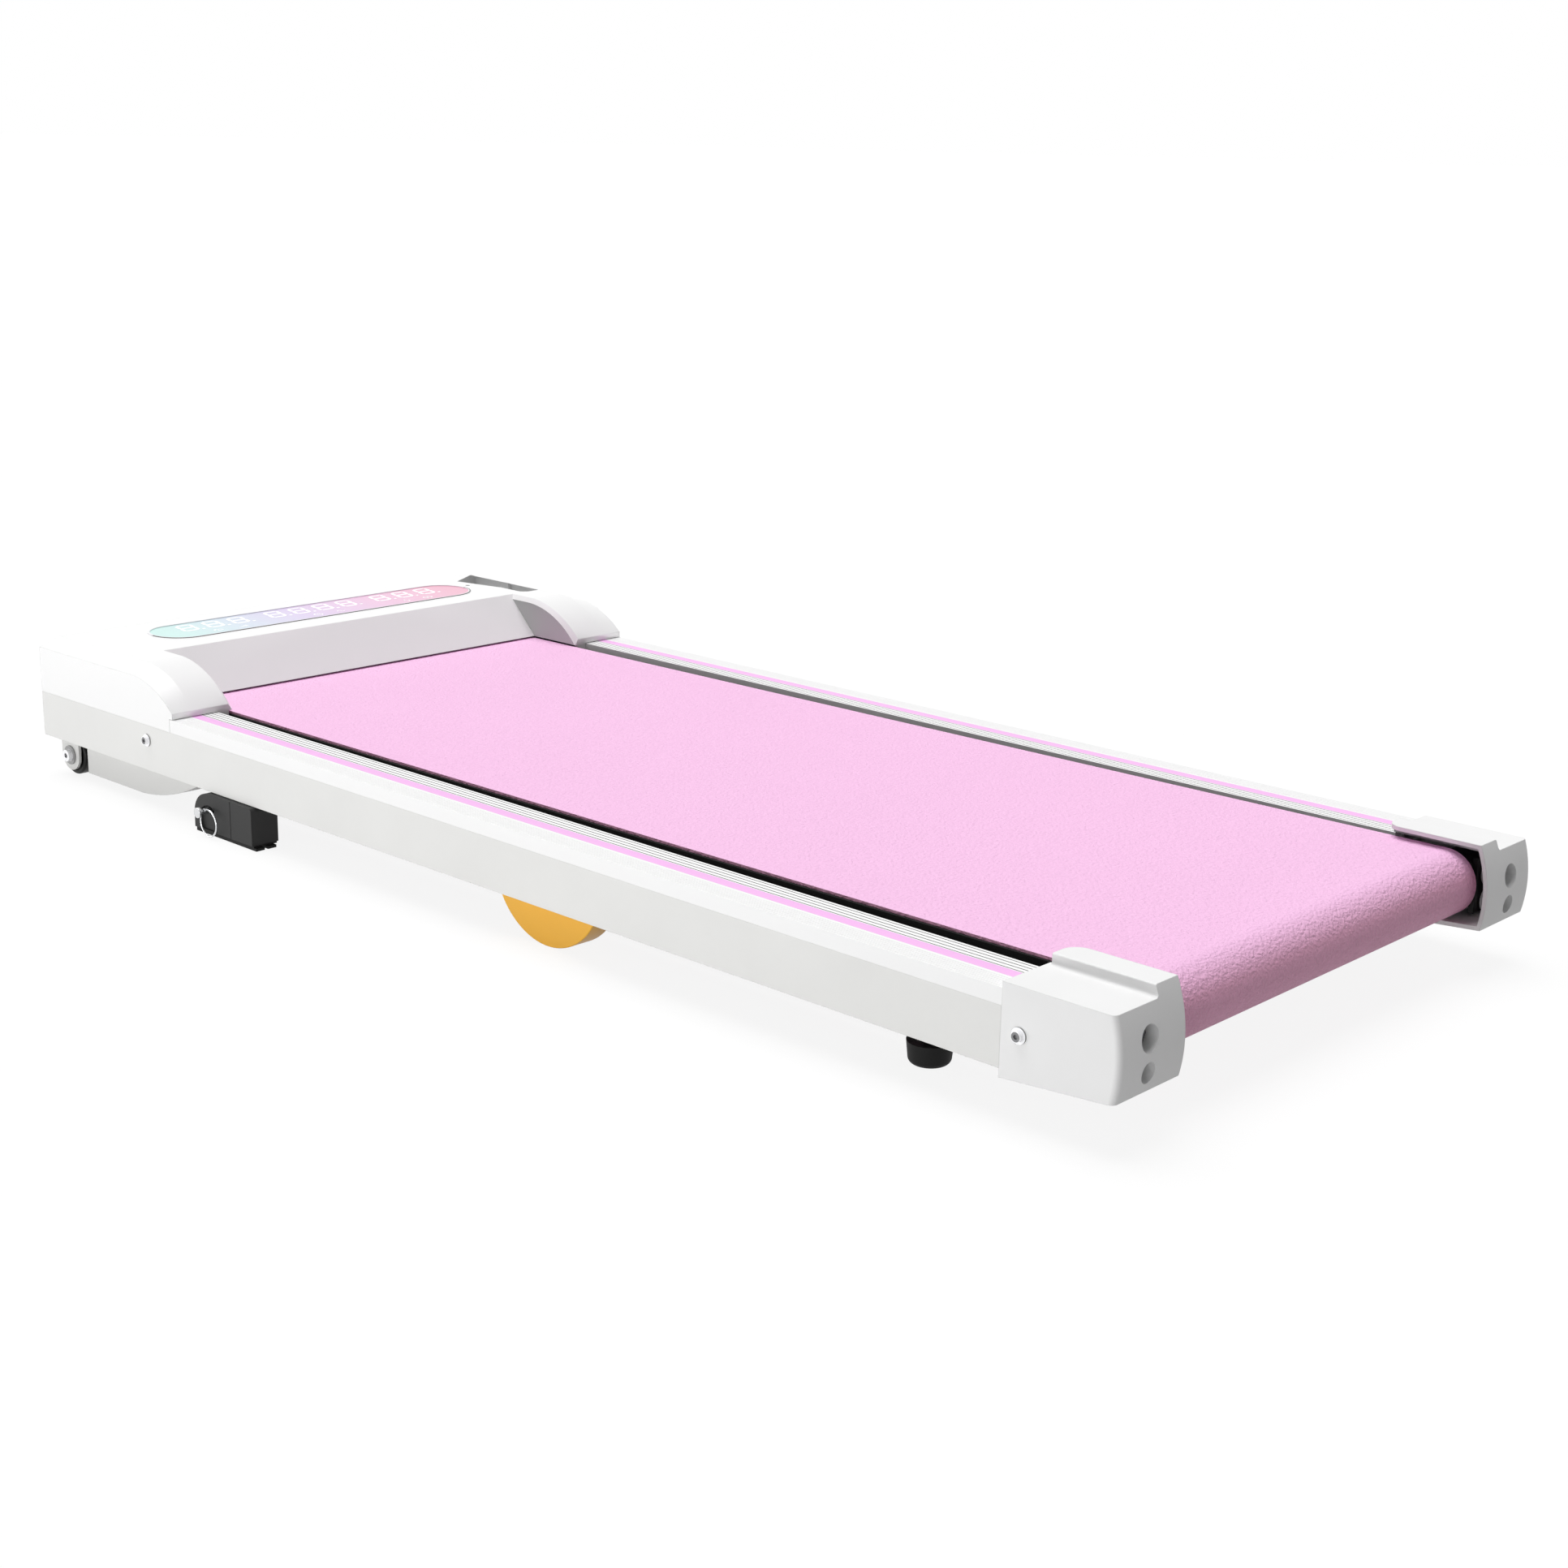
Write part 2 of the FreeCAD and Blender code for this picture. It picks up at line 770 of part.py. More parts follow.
def tension_bolt():
    seat = tab_rear_y - face_gap
    face = seat - tension_head_height
    tip = rear_roller_y - axle_block_depth / 2 + tension_bite - face_gap
    key_y = (face - overrun, face + tension_key_depth)
    head = prism_y(hexagon(tension_head_radius, tension_x, tension_z), (face, seat))
    key = prism_y(hexagon(tension_key_radius, tension_x, tension_z), key_y)
    shank = rod_y(tension_bolt_radius, tension_x, (seat - running_gap, tip), tension_z)
    return head.cut(key).fuse(shank).removeSplitter()


def fixing_screw():
    head = rod_y(fixing_head_radius, tension_x, (tab_rear_y - fixing_head_height, tab_rear_y), fixing_z)
    return head.fuse(rod_y(fixing_screw_radius, tension_x, (tab_rear_y, tab_rear_y + bracket_wall), fixing_z))


def side_screw(y, z):
    washer_x = -half_width - side_washer_height
    head_x = washer_x - side_head_height
    washer = rod_x(side_washer_radius, (washer_x, -half_width), y, z)
    head = rod_x(side_head_radius, (head_x, washer_x), y, z)
    key = prism_x(hexagon(side_key_radius, y, z), (head_x - overrun, head_x + side_head_height / 2))
    shank = rod_x(side_screw_radius, (-half_width, -half_width + side_screw_bite), y, z)
    return washer.fuse(head).fuse(shank).cut(key).removeSplitter()


# Motor hood

def lobe_wire(x, rise, mid_drop, inset, floor):
    """Side view of a shoulder lobe at x: flat top, round slope and a blunt lip at the rear."""
    top = seam_height + rise - inset
    tip = hood_tip_y + inset
    start = point(x, hood_tip_y + lobe_arc_run, top)
    middle = point(x, tip + lobe_mid_run, top - mid_drop)
    end = point(x, tip, seam_height + lobe_lip_rise - inset)
    front_foot = point(x, front_y - inset, floor)
    front_head = point(x, front_y - inset, top)
    tip_foot = point(x, tip, floor)
    return Part.Wire([line(front_foot, front_head), line(front_head, start), arc(start, middle, end),
                      line(end, tip_foot), line(tip_foot, front_foot)])


def hood_shoulder(inset, floor):
    crease_x = -half_width + hood_bevel
    inner_x = -half_width + lobe_width - inset
    crease = lobe_wire(crease_x, hood_height, lobe_mid_drop, inset, floor)
    side = lobe_wire(-half_width + inset, hood_side_height, lobe_side_mid_drop, inset, floor)
    bevel = Part.makeLoft([side, crease], True, True)
    lobe = Part.Face(crease).extrude(point(inner_x - crease_x, 0, 0))
    lip_z = seam_height + lobe_lip_rise - inset
    brow = edges_at(lobe, lambda p: close_to(p.x, inner_x) and p.z > lip_z - overrun)
    return bevel.fuse(lobe.makeChamfer(lobe_chamfer, brow))


def hood_middle(inset, floor):
    """The part between the lobes. Its rear wall leans from the top edge down to the belt."""
    top = hood_top - inset
    wall_top_y = front_y - hood_top_depth + inset
    wall_base_y = front_y - hood_base_depth + inset
    base_z = run_height(wall_base_y, belt_outer_radius + belt_passage_gap)
    wall_foot_y = wall_top_y + (wall_base_y - wall_top_y) * (top - floor) / (top - base_z)
    reach = half_width - lobe_width + inset + lobe_chamfer + lobe_chamfer
    outline = [(front_y - inset, floor), (front_y - inset, top), (wall_top_y, top), (wall_foot_y, floor)]
    return prism_x(outline, (-reach, reach))


def hood_form(inset, floor):
    shoulder = hood_shoulder(inset, floor)
    return shoulder.fuse(mirrored(shoulder)).fuse(hood_middle(inset, floor)).removeSplitter()


def tray_block(margin, z):
    x1 = half_width - tray_outer_inset + margin
    left_x = x1 - tray_left_width - margin - margin
    waist_x = x1 - tray_waist_width - margin - margin
    front = front_y - tray_front_setback + margin
    waist = front_y - tray_waist_setback - margin
    return prism_z([(x1, front), (x1 - tray_front_width - margin, front),
                    (left_x, front_y - tray_left_setback + margin), (waist_x, waist),
                    (x1 - tray_bend_width, waist), (x1, front_y - tray_bend_setback)], z)


def scoop_block(margin, z):
    x1 = half_width - scoop_outer_inset + margin
    x0 = x1 - scoop_width - margin - margin
    y1 = front_y - scoop_setback + margin
    y0 = y1 - scoop_length - margin - margin
    block = box((x0, x1), (y0, y1), z)
    rear = edges_at(block, lambda p: close_to(p.y, y0))
    upright = [e for e in rear if not close_to(e.Vertexes[0].Z, e.Vertexes[1].Z)]
    return block.makeFillet(scoop_corner, upright)


def motor_hood():
    outside = hood_form(0, seam_height)
    inside = hood_form(hood_wall, seam_height - overrun)
    tray_z = hood_top - tray_depth
    scoop_z = hood_top - scoop_depth
    tubs = tray_block(tray_wall, (tray_z - tray_wall, hood_top))
    tubs = tubs.fuse(scoop_block(tray_wall, (scoop_z - tray_wall, hood_top))).common(outside)
    passage = belt_loop(belt_outer_radius + belt_passage_gap,
                        around(0, belt_width + belt_passage_side + belt_passage_side))
    rail_room = rail_block(seat_gap)
    pocket_z = (hood_top - display_pocket, hood_top + overrun)
    display_room = pill(display_length, display_width, display_offset, display_y, pocket_z)
    sensor_room = rod_z(sensor_radius, sensor_x, sensor_y, past(hood_top - hood_wall, hood_top))
    hood = outside.cut(inside).fuse(tubs)
    hood = hood.cut(tray_block(0, (tray_z, hood_top + overrun)))
    hood = hood.cut(scoop_block(0, (scoop_z, hood_top + overrun)))
    hood = hood.cut(passage).cut(rail_room).cut(mirrored(rail_room)).cut(display_room).cut(sensor_room)
    return hood.removeSplitter()


def display_window(z):
    length = display_length - display_rim - display_rim
    width = display_width - display_rim - display_rim
    return pill(length, width, display_offset, display_y, z)


def display_bezel():
    z = (hood_top - display_pocket, hood_top + display_rim_proud)
    rim = pill(display_length, display_width, display_offset, display_y, z)
    return rim.cut(display_window(past(*z)))


def display_lens():
    z0 = hood_top - display_pocket
    return display_window((z0, z0 + lens_thickness))


def display_board():
    length = display_length - display_board_end_inset - display_board_end_inset
    width = display_width - display_board_side_inset - display_board_side_inset
    z1 = hood_top - hood_wall
    z = (z1 - display_board_thickness, z1)
    return box(around(display_offset, length), around(display_y, width), z)


def sensor_window():
    return rod_z(sensor_radius, sensor_x, sensor_y, (hood_top - sensor_thickness, hood_top))


# Belly pan

def pan_form(inset):
    half = half_width - pan_side_inset - inset
    nose_half = half_width - pan_nose_inset - inset
    front = front_y - pan_front_setback - inset
    flat_end = front_y - pan_front_setback - pan_flat_length
    rear = front_y - pan_front_setback - pan_length + inset
    low = beam_bottom - pan_depth + inset
    front_top = point(-half, front, beam_bottom)
    front_low = point(-half, front, low)
    rear_low = point(-half, flat_end, low)
    curve = point(-half, flat_end - pan_curve_run, beam_bottom - pan_curve_drop + inset)
    rear_top = point(-half, rear, beam_bottom)
    wire = Part.Wire([line(front_top, front_low), line(front_low, rear_low), arc(rear_low, curve, rear_top),
                      line(rear_top, front_top)])
    nose = box((-nose_half, nose_half), (front - pan_nose_lap, front_y - pan_nose_setback - inset),
               (low, beam_bottom))
    return Part.Face(wire).extrude(point(half + half, 0, 0)).fuse(nose)


def belly_pan():
    return pan_form(0).cut(pan_form(pan_wall)).removeSplitter()


# Drive

def motor_body():
    room_x = (motor_x + motor_end_wall, motor_end_x - motor_end_wall)
    can = rod_x(motor_radius, (motor_x, motor_end_x), motor_y, motor_z)
    room = rod_x(motor_radius - motor_wall, room_x, motor_y, motor_z)
    wall_x = past(motor_x, motor_x + motor_end_wall)
    shaft_hole = rod_x(motor_shaft_radius + running_gap, wall_x, motor_y, motor_z)
    return can.cut(room).cut(shaft_hole)


def motor_rotor():
    wheel_x = pulley_x - pulley_width
    inner_x = motor_x + motor_end_wall
    inner_end_x = motor_end_x - motor_end_wall
    shaft = rod_x(motor_shaft_radius, (wheel_x, inner_end_x - face_gap), motor_y, motor_z)
    wheel = rod_x(motor_pulley_radius, (wheel_x, pulley_x), motor_y, motor_z)
    core_x = (inner_x + motor_core_gap, inner_end_x - motor_core_gap)
    core = rod_x(motor_core_radius, core_x, motor_y, motor_z)
    return shaft.fuse(wheel).fuse(core).removeSplitter()


def drive_belt():
    x = around(pulley_x - pulley_width / 2, drive_belt_width)
    large = pulley_radius + face_gap
    small = motor_pulley_radius + face_gap
    outside = loop_solid((front_roller_y, front_roller_z, large + drive_belt_thickness),
                         (motor_y, motor_z, small + drive_belt_thickness), x)
    inside = loop_solid((front_roller_y, front_roller_z, large), (motor_y, motor_z, small), past(*x))
    return outside.cut(inside)


def motor_mount():
    x = (motor_x, motor_end_x)
    mount = box(x, (panel_back_y - mount_depth, panel_back_y), (mount_z, mount_z + mount_wall))
    for saddle_x in (motor_x + saddle_inset, motor_end_x - saddle_inset - saddle_width):
        saddle = box((saddle_x, saddle_x + saddle_width), around(motor_y, motor_radius), (mount_z, motor_z))
        mount = mount.fuse(saddle)
    foot = box(x, (panel_back_y - mount_wall, panel_back_y), (beam_bottom, panel_part_z))
    return mount.fuse(foot).cut(rod_x(motor_radius, past(*x), motor_y, motor_z)).removeSplitter()


def heat_sink():
    y = (panel_back_y - controller_depth, panel_back_y)
    base_z = mount_z + heat_sink_fin_height
    sink = box((controller_x, controller_end_x), y, (base_z, base_z + heat_sink_base))
    pitch = (controller_end_x - controller_x - heat_sink_fin_wall) / (heat_sink_fin_count - 1)
    for k in range(heat_sink_fin_count):
        fin_x = controller_x + k * pitch
        sink = sink.fuse(box((fin_x, fin_x + heat_sink_fin_wall), y, (mount_z, base_z)))
    return sink.removeSplitter()


def controller_board():
    z0 = mount_z + heat_sink_fin_height + heat_sink_base
    z1 = z0 + controller_board_thickness
    y = (panel_back_y - controller_depth, panel_back_y)
    board = box((controller_x, controller_end_x), y, (z0, z1))
    for k in range(capacitor_count):
        can_x = controller_x + capacitor_offset + k * capacitor_pitch
        board = board.fuse(rod_z(capacitor_radius, can_x, panel_back_y - controller_depth / 2,
                                 (z1, z1 + capacitor_height)))
    return board


# Power inlet and switch

def power_inlet():
    mouth_y = panel_y + inlet_flange_wall
    floor_y = mouth_y - inlet_socket_depth
    flange = box(around(inlet_x, inlet_flange_width), (panel_y, mouth_y),
                 around(panel_part_z, inlet_flange_height))
    body = box(around(inlet_x, inlet_body_width), (panel_y - inlet_body_depth, panel_y),
               around(panel_part_z, inlet_body_height))
    socket = box(around(inlet_x, inlet_socket_width), (floor_y, mouth_y + overrun),
                 around(panel_part_z, inlet_socket_height))
    inlet = flange.fuse(body).cut(socket)
    for k, rise in ((-1, -inlet_pin_rise), (0, inlet_pin_rise), (1, -inlet_pin_rise)):
        pin_x = around(inlet_x + k * inlet_pin_pitch, inlet_pin_width)
        pin_z = around(panel_part_z + rise, inlet_pin_height)
        inlet = inlet.fuse(box(pin_x, (floor_y, mouth_y - inlet_pin_set_back), pin_z))
    return inlet.removeSplitter()


def switch_frame():
    mouth_y = panel_y + inlet_flange_wall
    flange = box(around(switch_x, switch_frame_width), (panel_y, mouth_y),
                 around(panel_part_z, switch_frame_height))
    body = box(around(switch_x, switch_body_width), (panel_y - switch_body_depth, panel_y),
               around(panel_part_z, switch_body_height))
    well = box(around(switch_x, switch_well_width), (mouth_y - switch_well_depth, mouth_y + overrun),
               around(panel_part_z, switch_well_height))
    pin_half = rocker_width / 2 + rocker_pin_reach + running_gap
    pivot = rod_x(rocker_pin_radius + running_gap, (switch_x - pin_half, switch_x + pin_half),
                  mouth_y - switch_well_depth / 2, panel_part_z)
    return flange.fuse(body).cut(well).cut(pivot).removeSplitter()


def switch_rocker():
    z = panel_part_z
    y = panel_y + inlet_flange_wall - switch_well_depth / 2
    half = rocker_height / 2
    tip = y + rocker_front + rocker_crown
    pin_half = rocker_width / 2 + rocker_pin_reach
    body = prism_x([(y - rocker_back, z - half), (tip, z - half), (y + rocker_front, z), (tip, z + half),
                    (y - rocker_back, z + half)], around(switch_x, rocker_width))
    pin = rod_x(rocker_pin_radius, (switch_x - pin_half, switch_x + pin_half), y, z)
    return body.fuse(pin).removeSplitter()


# Transport wheels

def fork_span():
    """The outer faces of the fork, across X."""
    margin = wheel_side_gap + fork_wall
    return wheel_x - margin, wheel_x + wheel_width + margin


def wheel_room():
    x = (wheel_x - wheel_side_gap, wheel_x + wheel_width + wheel_side_gap)
    return rod_x(wheel_radius + wheel_side_gap, x, wheel_y, wheel_height)


def wheel_bracket():
    x0, x1 = fork_span()
    y = around(wheel_y, fork_width)
    bracket = box((x0, x1), y, (beam_bottom - fork_wall, beam_bottom))
    for cheek_x in ((x0, x0 + fork_wall), (x1 - fork_wall, x1)):
        bracket = bracket.fuse(box(cheek_x, y, (wheel_height, beam_bottom)))
        bracket = bracket.fuse(rod_x(fork_width / 2, cheek_x, wheel_y, wheel_height))
    bore = rod_x(wheel_bolt_radius, past(x0, x1), wheel_y, wheel_height)
    return bracket.cut(wheel_room()).cut(bore).removeSplitter()


def transport_wheel():
    x1 = wheel_x + wheel_width
    tyre = rod_x(wheel_radius, (wheel_x, x1), wheel_y, wheel_height)
    tyre = tyre.makeFillet(wheel_edge, ring_edges(tyre))
    for dish_x in ((wheel_x - overrun, wheel_x + wheel_dish), (x1 - wheel_dish, x1 + overrun)):
        dish = rod_x(wheel_dish_radius, dish_x, wheel_y, wheel_height)
        tyre = tyre.cut(dish.cut(rod_x(wheel_hub_radius, dish_x, wheel_y, wheel_height)))
    return tyre.cut(rod_x(wheel_bolt_radius + running_gap, past(wheel_x, x1), wheel_y, wheel_height))


def wheel_bolt():
    x0, x1 = fork_span()
    washer_x = x0 - wheel_washer_height
    head_x = washer_x - wheel_bolt_head_height
    washer = rod_x(wheel_washer_radius, (washer_x, x0), wheel_y, wheel_height)
    head = rod_x(wheel_bolt_head_radius, (head_x, washer_x), wheel_y, wheel_height)
    key_x = (head_x - overrun, head_x + wheel_key_depth)
    key = prism_x(hexagon(wheel_key_radius, wheel_y, wheel_height), key_x)
    shank = rod_x(wheel_bolt_radius, (x0, x1), wheel_y, wheel_height)
    nut_x = (x1, x1 + wheel_bolt_head_height)
    nut = prism_x(hexagon(wheel_bolt_head_radius, wheel_y, wheel_height), nut_x)
    return washer.fuse(head).fuse(shank).fuse(nut).cut(key).removeSplitter()


# Incline feet

def foot_form():
    """The block's side view: square at the rear, with a round upper corner in front."""
    x0 = foot_outer_x
    rear = foot_front_y - foot_length
    nose_y = foot_front_y - foot_nose_radius
    nose_z = foot_top - foot_nose_radius
    lean = foot_nose_radius * math.sqrt(0.5)
    rear_top = point(x0, rear, foot_top)
    nose_top = point(x0, nose_y, foot_top)
    nose_middle = point(x0, nose_y + lean, nose_z + lean)
    nose_front = point(x0, foot_front_y, nose_z)
    front_low = point(x0, foot_front_y, foot_tread_thickness)
    rear_low = point(x0, rear, foot_tread_thickness)
    wire = Part.Wire([line(rear_low, rear_top), line(rear_top, nose_top),
                      arc(nose_top, nose_middle, nose_front),
                      line(nose_front, front_low), line(front_low, rear_low)])
    form = Part.Face(wire).extrude(point(foot_width, 0, 0))
    rim = edges_at(form, lambda p: close_to(p.y, rear) and p.z > foot_tread_thickness + running_gap)
    return form.makeFillet(foot_edge_radius, rim)


def incline_foot():
    x0 = foot_outer_x
    x1 = foot_inner_x
    rear = foot_front_y - foot_length
    dish = rod_x(foot_dish_radius, (x0 - overrun, x0 + foot_dish_depth), pivot_y, pivot_z)
    face = box((x0 - overrun, x1), (rear, foot_front_y + overrun), (foot_tread_thickness, foot_top))
    dish = dish.common(face)
    recess = rod_x(lock_recess_radius, (x0 - overrun, x0 + lock_recess_depth), pivot_y, lock_z)
    pin_hole = rod_x(lock_pin_radius + running_gap, past(x0, x1), pivot_y, lock_z)
    pivot_x = (x1 - foot_pivot_reach - face_gap, x1 + overrun)
    pivot_hole = rod_x(foot_pivot_radius + running_gap, pivot_x, pivot_y, pivot_z)
    seam_y = around(foot_front_y - foot_seam_setback, foot_seam_width)
    seam = box((x0 - overrun, x0 + foot_seam_depth), seam_y, past(foot_tread_thickness, foot_top))
    return foot_form().cut(dish).cut(recess).cut(pin_hole).cut(pivot_hole).cut(seam).removeSplitter()


def foot_tread():
    x0 = foot_outer_x + foot_tread_inset
    x1 = foot_inner_x - foot_tread_inset
    rear = foot_front_y - foot_length
    base_z = foot_tread_thickness - foot_tread_base
    tread = box((x0, x1), (rear, foot_front_y), (base_z, foot_tread_thickness))
    pitch = foot_tread_rib + foot_tread_gap
    for k in range(int((x1 - x0 + foot_tread_gap) / pitch)):
        rib_x = x0 + k * pitch
        rib = box((rib_x, rib_x + foot_tread_rib), (rear - foot_tread_tail, foot_front_y), (0, base_z))
        tread = tread.fuse(rib)
    return tread.removeSplitter()


def foot_bracket():
    x0 = foot_inner_x + foot_plate_gap
    x1 = x0 + foot_plate_wall
    plate = box((x0, x1), around(pivot_y, foot_plate_width), (foot_plate_floor_gap, beam_bottom))
    pivot = rod_x(foot_pivot_radius, (foot_inner_x - foot_pivot_reach, x0), pivot_y, pivot_z)
    for hole_y, hole_z in ((pivot_y, lock_z), (pivot_y - lock_offset, pivot_z)):
        plate = plate.cut(rod_x(lock_pin_radius + running_gap, past(x0, x1), hole_y, hole_z))
    return plate.fuse(pivot)


def lock_pin():
    neck_x = foot_outer_x - lock_neck_length
    shank = rod_x(lock_pin_radius, (neck_x, foot_inner_x - lock_tip_gap), pivot_y, lock_z)
    head = rod_x(lock_head_radius, (neck_x - lock_head_height, neck_x), pivot_y, lock_z)
    reach = lock_head_radius + overrun
    lean = math.radians(ring_lean_deg)
    along = point(0, math.cos(lean), -math.sin(lean))
    start = point(ring_x, pivot_y, lock_z) - along * reach
    eye = Part.makeCylinder(ring_eye_radius, reach + reach, start, along)
    return shank.cut(eye).fuse(head).removeSplitter()


def pin_ring():
    lean = math.radians(ring_lean_deg)
    middle = point(ring_x, pivot_y - ring_radius * math.sin(lean), lock_z - ring_radius * math.cos(lean))
    return Part.makeTorus(ring_radius, ring_wire_radius, middle, point(1, 0, 0))


# Supports on the floor

def mid_support():
    x0 = -half_width + moon_inset
    x1 = x0 + moon_thickness
    y = (-moon_offset - moon_radius, -moon_offset + moon_radius)
    disc = rod_x(moon_radius, (x0, x1), -moon_offset, moon_radius)
    disc = disc.makeFillet(moon_edge_radius, ring_edges(disc))
    return disc.common(box(past(x0, x1), past(*y), (0, beam_bottom)))


def rear_foot():
    x = rear_foot_x
    y = rear_foot_y
    dish_z = rear_foot_height - rear_foot_dish_depth
    nut_top = beam_bottom - face_gap
    foot = Part.makeCone(rear_foot_radius, rear_foot_top_radius, rear_foot_height, point(x, y, 0))
    foot = foot.makeFillet(rear_foot_edge, [e for e in ring_edges(foot) if close_to(e.Vertexes[0].Z, 0)])
    dish = rod_z(rear_foot_dish_radius, x, y, (dish_z, rear_foot_height + overrun))
    stud = rod_z(rear_stud_radius, x, y, (dish_z, beam_bottom + beam_wall + rear_stud_proud))
    nut = prism_z(hexagon(rear_nut_radius, x, y), (nut_top - rear_nut_height, nut_top))
    return foot.cut(dish).fuse(stud).fuse(nut).removeSplitter()


save_pair("side_beam", side_beam())
save("rear_cross_beam", cross_beam(rear_beam_y))
save("middle_cross_beam", cross_beam(middle_beam_y))
save("front_cross_beam", cross_beam(front_beam_y))
save_both("deck_cushions", deck_cushions())
save("running_deck", running_deck())
save("front_panel", front_panel())
save_pair("foot_rail", foot_rail())
save_pair("rail_stripe", rail_stripe())
save("running_belt", running_belt())
save("rear_roller", roller_tube(rear_roller_y, rear_roller_z))
save_both("rear_bearings", [roller_bearing(rear_roller_y, rear_roller_z)])
save("rear_axle", rear_axle())
save("front_roller", roller_tube(front_roller_y, front_roller_z))
save_both("front_bearings", [roller_bearing(front_roller_y, front_roller_z)])
save("front_axle", front_axle())
save("front_pulley", front_pulley())
save_pair("end_cap", end_cap())
save_both("roller_brackets", [roller_bracket()])
save_both("axle_blocks", [axle_block()])
save_pair("tension_bolt", tension_bolt())
save_both("cap_screws", [fixing_screw()])
save_both("side_screws", [side_screw(front_y - front_screw_setback, seam_height - front_screw_drop),
                          side_screw(cap_front_y - cap_screw_setback, seam_height - cap_screw_drop)])
save("motor_hood", motor_hood())
save("display_bezel", display_bezel())
save("display_lens", display_lens())
save("display_board", display_board())
save("sensor_window", sensor_window())
save("belly_pan", belly_pan())
save("motor_body", motor_body())
save("motor_rotor", motor_rotor())
save("drive_belt", drive_belt())
save("motor_mount", motor_mount())
save("heat_sink", heat_sink())
save("controller_board", controller_board())
save("power_inlet", power_inlet())
save("switch_frame", switch_frame())
save("switch_rocker", switch_rocker())
save_both("wheel_brackets", [wheel_bracket()])
save_pair("transport_wheel", transport_wheel())
save_both("wheel_bolts", [wheel_bolt()])
save_both("foot_brackets", [foot_bracket()])
save_pair("incline_foot", incline_foot())
save_pair("foot_tread", foot_tread())
save_pair("lock_pin", lock_pin())
save_pair("pin_ring", pin_ring())
save_pair("mid_support", mid_support())
save_pair("rear_foot", rear_foot())
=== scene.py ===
import json
import math

import bmesh
import bpy
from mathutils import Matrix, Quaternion, Vector


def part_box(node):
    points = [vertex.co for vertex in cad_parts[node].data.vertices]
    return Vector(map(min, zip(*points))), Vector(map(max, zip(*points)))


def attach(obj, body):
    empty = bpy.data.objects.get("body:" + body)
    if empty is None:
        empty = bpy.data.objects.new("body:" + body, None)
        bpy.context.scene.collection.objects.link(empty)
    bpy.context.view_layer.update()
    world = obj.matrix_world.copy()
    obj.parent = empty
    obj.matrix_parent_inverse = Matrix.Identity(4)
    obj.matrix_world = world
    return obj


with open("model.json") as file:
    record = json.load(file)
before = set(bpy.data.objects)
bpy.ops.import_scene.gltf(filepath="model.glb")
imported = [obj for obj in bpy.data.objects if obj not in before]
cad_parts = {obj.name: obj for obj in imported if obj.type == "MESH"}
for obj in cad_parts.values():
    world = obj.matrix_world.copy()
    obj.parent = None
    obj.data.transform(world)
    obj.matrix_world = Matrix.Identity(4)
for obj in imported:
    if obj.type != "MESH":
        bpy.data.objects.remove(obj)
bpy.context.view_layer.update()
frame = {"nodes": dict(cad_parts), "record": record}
nodes = frame["nodes"]

# Lengths are metres. X points to the walker's right, Y to the motor hood and Z up.

# Camera: where it stands, which way it looks and how far it is rolled
camera_place = Vector((-1.2665, -1.2557, 0.5553))
camera_ahead = Vector((0.7073, 0.6544, -0.2673))
camera_roll_deg = 1.22
camera_lens_mm = 53.47
camera_sensor_mm = 36.0

# Light levels: a soft light high in front, a low strip on each side and an even sky
sky_level = 0.18
top_light_level = 0.87
top_light_from = Vector((0.0, 0.26, 0.97))
top_light_spread_deg = 50.0
top_light_height = 2.0
strip_light_watts = 2.75
strip_light_reach = 0.62
left_strip_y = 0.3
right_strip_y = 0.55
strip_light_z = 0.02
strip_light_length = 2.2
strip_light_height = 0.03
floor_bounce = 0.44
floor_white = 0.12
floor_glow = 0.885
floor_size = 200.0

# Colours as the eye sees them, 0 to 255
frame_white = (234, 234, 232)
hood_white = (250, 250, 250)
rail_white = (250, 250, 250)
# Painted shade in the rails' tread grooves
groove_painted_shade = (90, 90, 90)
# Painted shade in the tray and the scoop
tray_painted_shade = (212, 212, 212)
# Painted shade on the inner faces of the hood's lobes
lobe_painted_shade = (188, 196, 190)
cap_white = (244, 244, 244)
pan_grey = (222, 222, 220)
bracket_grey = (222, 222, 220)
bracket_black = (16, 16, 16)
belt_pink = (255, 201, 241)
# Painted shade: the rosy pink where the belt faces away from up
belt_shade_rose = (252, 184, 217)
stripe_pink = (250, 188, 244)
rubber_black = (14, 14, 14)
block_black = (50, 50, 50)
deck_black = (10, 10, 10)
support_amber = (246, 184, 50)
zinc_grey = (196, 198, 200)
bright_zinc = (225, 226, 228)
bezel_white = (246, 246, 248)
# Painted shadow along the bezel's rear edge
bezel_painted_shadow = (96, 94, 96)
figure_white = (255, 255, 255)
washer_grey = (150, 150, 150)
head_bright = (250, 250, 252)
# Painted shade in the screws' key holes
key_hole_painted_shade = (128, 128, 130)
# Zinc of the tension bolts, darkened as painted shade for the inside of their holes
tension_zinc_and_shade = (120, 120, 122)
sensor_grey = (70, 70, 72)
board_green = (40, 95, 60)
motor_grey = (120, 122, 125)
aluminium_grey = (190, 192, 195)
inlet_black = (26, 26, 27)

# Edges look rounded by this much, and the fine ribs of the rails by less
edge_radius = 0.0007
rib_edge_radius = 0.0001
edge_samples = 4

# Grain of each kind of surface: how fine, how broken up, how strong and how deep
moulded_grain = (1800.0, 2.0, 0.06, 0.0002)
painted_grain = (700.0, 1.0, 0.05, 0.0003)
rubber_grain = (900.0, 4.0, 0.15, 0.0003)
metal_grain = (500.0, 3.0, 0.03, 0.0002)

